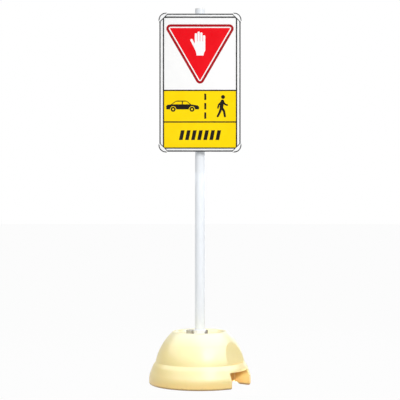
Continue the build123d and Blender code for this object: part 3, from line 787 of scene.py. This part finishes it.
def add_guards():
    """Corner guards with a dark rim round their front and a dark strip along each chord: painted shade
    lines along the guards' edges.
    """
    frame_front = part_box("frame_left")[0].y
    low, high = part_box("edge_band")
    for node in [name for name in NODES if name.startswith("corner_guard_")]:
        shape = welded(node)
        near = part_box(node)[0].y
        side = 1 if node.endswith("right") else -1
        end = 1 if "_top_" in node else -1
        corner = (high.x if side > 0 else low.x, high.z if end > 0 else low.z)
        faces = [v.co for v in shape.verts if abs(v.co.y - near) < WELD]
        farthest = [
            max(faces, key=lambda co: a * side * co.x + b * end * co.z)
            for a, b in ((1, 0), (1, 1), (0, 1))
        ]
        centre, radius = circle_through(*[(co.x, co.z) for co in farthest])
        reaches = [(side * (co.x - centre[0]), end * (co.z - centre[1])) for co in faces]
        on_arc = [(u, w) for u, w in reaches if abs(math.hypot(u, w) - radius) < ARC_SLACK]
        turns = [math.degrees(math.atan2(w, u)) for u, w in on_arc]
        first, last = min(turns), max(turns)
        crescent = arc((0.0, 0.0), radius - SHADE_RIM_MARGIN, first, last, SHADE_RIM_STEPS)
        crescent += arc((0.0, 0.0), radius - SHADE_RIM_WIDTH, last - SHADE_RIM_TAPER, first + SHADE_RIM_TAPER, SHADE_RIM_STEPS)
        shade_rim = [(centre[0] + side * u, centre[1] + end * w) for u, w in crescent]
        inner = max(side * (corner[0] - co.x) + end * (corner[1] - co.z) for co in faces)
        outer = inner + SHADE_LIP_WIDTH * math.sqrt(2)
        insets = [(0.0, inner), (inner, 0.0), (outer, 0.0), (0.0, outer)]
        shade_lip = [(corner[0] - side * a, corner[1] - end * b) for a, b in insets]
        round_edges(stand_in(node, shape), GUARD_ROUND)
        # Dark rim and chord strip: painted shade lines
        for kind, outline, back, height, edge in (
            ("guard_rim", shade_rim, near, SHADE_RIM_HEIGHT, SHADE_RIM_ROUND),
            ("guard_lip", shade_lip, frame_front, SHADE_LIP_HEIGHT, SHADE_LIP_ROUND),
        ):
            strip = film_shape([outline], back - height, back)
            round_edges(rubber_and_shade_piece(node.replace("corner_guard", kind), strip), edge)


def add_shadow_line_strips():
    """Thin dark strips on the front of the frame along its outer edge between the guards: a painted
    shadow line.
    """
    low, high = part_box("edge_band")
    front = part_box("frame_left")[0].y
    left, right = low.x + SHADOW_LINE_MARGIN, high.x - SHADOW_LINE_MARGIN
    bottom, top = low.z + SHADOW_LINE_MARGIN, high.z - SHADOW_LINE_MARGIN
    strips = [
        rectangle(left, low.z + SHADOW_LINE_END, left + SHADOW_LINE_WIDTH, high.z - SHADOW_LINE_END),
        rectangle(right - SHADOW_LINE_WIDTH, low.z + SHADOW_LINE_END, right, high.z - SHADOW_LINE_END),
        rectangle(low.x + SHADOW_LINE_END, bottom, high.x - SHADOW_LINE_END, bottom + SHADOW_LINE_WIDTH),
        rectangle(low.x + SHADOW_LINE_END, top - SHADOW_LINE_WIDTH, high.x - SHADOW_LINE_END, top),
    ]
    rubber_and_shade_piece("painted_shadow_line", film_shape(strips, front - SHADOW_LINE_HEIGHT, front))


# Hardware
def islands(node):
    """Boxes of the separate solids of a node."""
    shape = welded(node)
    left = set(shape.verts)
    boxes = []
    while left:
        stack = [left.pop()]
        group = list(stack)
        while stack:
            for edge in stack.pop().link_edges:
                for vert in edge.verts:
                    if vert in left:
                        left.remove(vert)
                        stack.append(vert)
                        group.append(vert)
        spans = [[v.co[axis] for v in group] for axis in range(3)]
        boxes.append((Vector(min(s) for s in spans), Vector(max(s) for s in spans)))
    shape.free()
    return boxes


def axis_of(low, high):
    """Point on the axis of a round part that lies along +Y."""
    return Vector(((low.x + high.x) / 2, 0.0, (low.z + high.z) / 2))


# Bolts and nuts; the chamfer starts at a share of the width across the flats
HEX_STEPS = 48
CHAMFER_START = 0.475
CHAMFER_SLOPE = math.tan(math.radians(30.0))
THREAD_PITCH = 1.25 * MM
THREAD_DEPTH = 0.55 * MM
BOLT_RADIUS = 4.0 * MM
BOLT_FLATS = 13.0 * MM
NUT_BORE = 4.05 * MM


def hexagon(flats):
    """Reach of a hexagon at an angle."""
    return lambda turn: flats / 2 / math.cos((turn + math.pi / 6) % (math.pi / 3) - math.pi / 6)


def hex_ring(centre, flats, along, way):
    """Edge of a chamfered hexagon's flats, below its round face."""
    reach = hexagon(flats)
    points = ring(centre, reach, along, HEX_STEPS)
    for i, point in enumerate(points):
        drop = reach(2 * math.pi * i / HEX_STEPS) - CHAMFER_START * flats
        point.y += way * CHAMFER_SLOPE * drop
    return points


def add_bolts():
    """Hexagon bolts with chamfered heads and threaded ends."""
    shape = bmesh.new()
    nut_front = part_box("clamp_nuts")[0].y
    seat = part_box("back_rail_upper")[0].y
    for low, high in islands("clamp_bolts"):
        centre = axis_of(low, high)
        head = [
            ring(centre, CHAMFER_START * BOLT_FLATS, low.y, HEX_STEPS),
            hex_ring(centre, BOLT_FLATS, low.y, 1),
            ring(centre, hexagon(BOLT_FLATS), seat, HEX_STEPS),
        ]
        skin(shape, head)
        turns = int((high.y - nut_front) / THREAD_PITCH)
        start = high.y - turns * THREAD_PITCH
        root = BOLT_RADIUS - THREAD_DEPTH
        shank = [ring(centre, BOLT_RADIUS, seat), ring(centre, BOLT_RADIUS, start)]
        for i in range(turns):
            crest = BOLT_RADIUS if i + 1 < turns else root
            shank.append(ring(centre, root, start + (i + 0.5) * THREAD_PITCH))
            shank.append(ring(centre, crest, start + (i + 1) * THREAD_PITCH))
        skin(shape, shank)
    stand_in("clamp_bolts", finished(shape))


def add_nuts():
    """Hexagon nuts chamfered on both faces."""
    shape = bmesh.new()
    for low, high in islands("clamp_nuts"):
        centre = axis_of(low, high)
        rings = [
            ring(centre, NUT_BORE, low.y, HEX_STEPS),
            ring(centre, CHAMFER_START * BOLT_FLATS, low.y, HEX_STEPS),
            hex_ring(centre, BOLT_FLATS, low.y, 1),
            hex_ring(centre, BOLT_FLATS, high.y, -1),
            ring(centre, CHAMFER_START * BOLT_FLATS, high.y, HEX_STEPS),
            ring(centre, NUT_BORE, high.y, HEX_STEPS),
        ]
        skin(shape, rings, False)
    stand_in("clamp_nuts", finished(shape))


# Rivets; their profile and shank are shares of the head's radius and height
RIVET_PROFILE = (
    (1.0, 0.0), (1.0, 0.25), (0.94, 0.62), (0.8, 0.86), (0.58, 0.97), (0.38, 1.0),
    (0.34, 0.96), (0.31, 0.55), (0.2, 0.5), (0.14, 0.62), (0.05, 0.66),
)
RIVET_SHANK = 0.5
RIVET_HEIGHT = 1.2 * MM


def add_rivets(node):
    """Blind rivets with domed heads and the broken pin in the middle."""
    shape = bmesh.new()
    for low, high in islands(node):
        centre = axis_of(low, high)
        radius = (high.x - low.x) / 2
        seat = high.y - RIVET_HEIGHT
        rings = [ring(centre, RIVET_SHANK * radius, low.y), ring(centre, RIVET_SHANK * radius, seat)]
        rings += [ring(centre, r * radius, seat + h * (high.y - seat)) for r, h in RIVET_PROFILE]
        skin(shape, rings)
    for face in shape.faces:
        face.smooth = True
    stand_in(node, finished(shape))


# Neck thread; its ridge is in millimetres out from the neck and along it, and fades at both ends
NECK_RADIUS = 20.0 * MM
NECK_TOP = 3.0 * MM
NECK_TURNS = 1.6
NECK_PITCH = 6.0 * MM
NECK_STEPS = 120
NECK_RIDGE = ((-0.3, -1.1), (0.2, -0.35), (0.2, 0.35), (-0.3, 1.1))
NECK_FADE = 8
NECK_END = 0.05


def add_neck_thread():
    """Screw thread on the filling neck, under its cap."""
    low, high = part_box("cap_gasket")
    centre = (low + high) / 2
    rings = []
    for i in range(NECK_STEPS + 1):
        turn = 2 * math.pi * NECK_TURNS * i / NECK_STEPS
        height = low.z - NECK_TOP - NECK_PITCH * NECK_TURNS * (1 - i / NECK_STEPS)
        out = Vector((math.cos(turn), math.sin(turn), 0.0))
        base = Vector((centre.x, centre.y, height))
        fade = min(1.0, NECK_FADE * i / NECK_STEPS, NECK_FADE * (1 - i / NECK_STEPS)) or NECK_END
        rings.append([
            base + out * (NECK_RADIUS + fade * reach * MM) + Vector((0, 0, rise * MM))
            for reach, rise in NECK_RIDGE
        ])
    shape = bmesh.new()
    skin(shape, rings)
    piece("neck_thread", finished(shape), "base", MATERIALS["tank_plastic"])


# Finishes of the pieces that keep their own shape
def finish_frame_nodes():
    """Give every carried-over piece its finish."""
    for node, finish in FINISHES.items():
        mesh = NODES[node].data
        mesh.materials.clear()
        mesh.materials.append(finish)


# Stage
def add_camera():
    """Camera level with the middle of the stand."""
    data = bpy.data.cameras.new("camera")
    data.sensor_width = SENSOR_WIDTH
    data.lens = SENSOR_WIDTH * CAMERA_DISTANCE / VIEW_WIDTH
    camera = bpy.data.objects.new("camera", data)
    camera.location = (0.0, -CAMERA_DISTANCE, CAMERA_HEIGHT)
    camera.rotation_euler = (math.pi / 2, 0.0, 0.0)
    bpy.context.scene.collection.objects.link(camera)
    bpy.context.scene.camera = camera


def seen_directly(tree):
    """1 for rays that show the background itself: straight, mirrored or through glass."""
    path = add(tree, "LightPath")
    straight = path.outputs["Is Camera Ray"]
    mirrored = add(tree, "Math", {0: straight, 1: path.outputs["Is Glossy Ray"]}, operation="MAXIMUM")
    both = {0: mirrored.outputs["Value"], 1: path.outputs["Is Transmission Ray"]}
    return add(tree, "Math", both, operation="MAXIMUM").outputs["Value"]


def add_world():
    """White to look at, and an even soft light on the object."""
    world = bpy.data.worlds.new("studio")
    bpy.context.scene.world = world
    world.use_nodes = True
    tree = world.node_tree
    tree.nodes.clear()
    light = add(tree, "Background", {"Color": WHITE, "Strength": SURROUND})
    view = add(tree, "Background", {"Color": WHITE, "Strength": 1.0})
    mix = add(tree, "MixShader", {0: seen_directly(tree), 1: light.outputs[0], 2: view.outputs[0]})
    add(tree, "OutputWorld", {"Surface": mix.outputs[0]})


def add_lamps():
    """Soft flat lamps."""
    for name, values in LAMPS.items():
        data = bpy.data.lights.new(name, "AREA")
        data.shape = "RECTANGLE"
        data.size, data.size_y = values["size"]
        data.energy = values["power"]
        data.spread = math.radians(values["spread"])
        lamp = bpy.data.objects.new(name, data)
        lamp.location = values["place"]
        way = Vector(values["aim"]) - Vector(values["place"])
        lamp.rotation_euler = way.to_track_quat("-Z", "Y").to_euler()
        lamp.visible_camera = False
        if name in GLOSS_ONLY:
            lamp.visible_diffuse = False
            data.color = GLOSS_TINT
        if name in MATT_ONLY:
            lamp.visible_glossy = False
        bpy.context.scene.collection.objects.link(lamp)


def add_floor():
    """White floor that keeps a faint shadow of the object."""
    material = bpy.data.materials.new("floor")
    material.use_nodes = True
    tree = material.node_tree
    tree.nodes.clear()
    paint = add(tree, "BsdfDiffuse", {"Color": (FLOOR_PAINT, FLOOR_PAINT, FLOOR_PAINT, 1.0)})
    glow = add(tree, "Emission", {"Color": WHITE, "Strength": 1.0})
    share = product(tree, seen_directly(tree), FLOOR_WHITE)
    mix = add(tree, "MixShader", {0: share, 1: paint.outputs[0], 2: glow.outputs[0]})
    add(tree, "OutputMaterial", {"Surface": mix.outputs[0]})
    shape = bmesh.new()
    bmesh.ops.create_grid(shape, x_segments=1, y_segments=1, size=FLOOR_SIZE / 2)
    mesh = bpy.data.meshes.new("floor")
    shape.to_mesh(mesh)
    shape.free()
    mesh.materials.append(material)
    floor = bpy.data.objects.new("floor", mesh)
    floor.location.z = -FLOOR_DROP
    bpy.context.scene.collection.objects.link(floor)


add_camera()
finish_frame_nodes()
add_print()
soften()
add_bead_with_shadow_lap()
add_guards()
add_shadow_line_strips()
add_bolts()
add_nuts()
add_rivets("rail_rivets")
add_rivets("guard_rivets")
add_neck_thread()
add_world()
add_lamps()
add_floor()
bpy.context.scene.view_settings.view_transform = "Standard"
